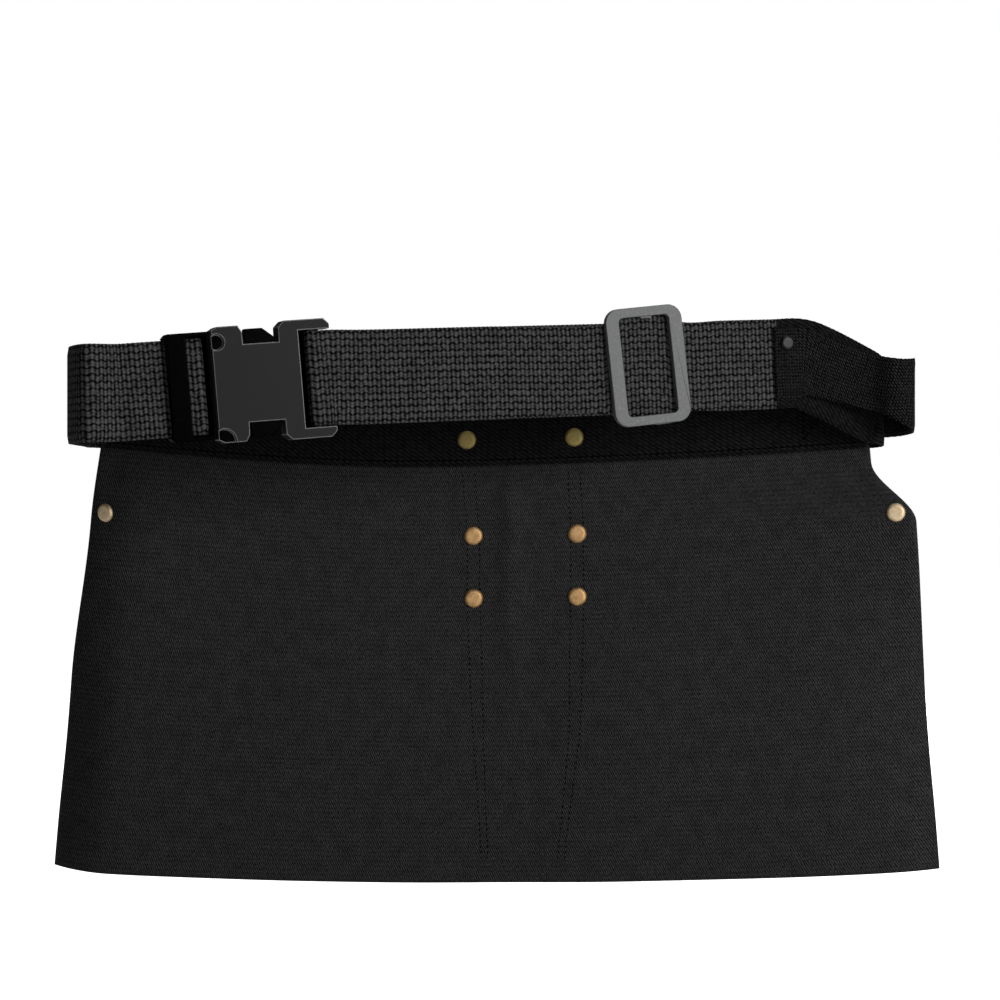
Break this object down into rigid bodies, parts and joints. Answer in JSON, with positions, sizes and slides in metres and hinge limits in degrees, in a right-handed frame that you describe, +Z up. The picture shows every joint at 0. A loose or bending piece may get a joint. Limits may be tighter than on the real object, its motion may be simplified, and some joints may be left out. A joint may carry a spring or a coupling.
{
  "type": "carpenter nail apron",
  "caption": "Black canvas waist apron with open nail pouches, a tool sleeve, a hammer loop and a webbing belt with a side-release buckle.",
  "frame": {"origin": "the middle of the waist loop, level with the middle of the waistband at its lowest point", "axes": "+Z up as worn, +X along the waistband towards the hammer loop, +Y from the wearer's back towards the canvas"},
  "size_m": [0.5144, 0.2473, 0.3284],
  "materials": {
    "canvas": "black cotton duck, dull",
    "webbing": "black woven belt webbing",
    "nylon": "black ballistic nylon",
    "black_plastic": "moulded, satin",
    "grey_plastic": "moulded, satin",
    "brass": "aged, brushed",
    "black_metal": "black enamel"
  },
  "bodies": {
    "root": {"back_panel": "canvas", "centre_sleeve": "canvas", "left_pouch": "canvas", "left_front_pocket": "canvas", "right_pouch": "canvas", "right_front_pocket": "canvas", "waistband": "webbing", "belt_left_strap": "webbing", "belt_right_strap": "webbing", "buckle_socket": "black_plastic", "buckle_plug": "black_plastic", "strap_slider": "grey_plastic", "hammer_loop": "nylon", "hammer_loop_rivet": "black_metal", "rivet_band_left": "brass", "rivet_band_right": "brass", "rivet_mouth_left": "brass", "rivet_mouth_right": "brass", "rivet_pocket_left": "brass", "rivet_pocket_right": "brass", "rivet_edge_left": "brass", "rivet_edge_right": "brass"}
  },
  "joints": []
}
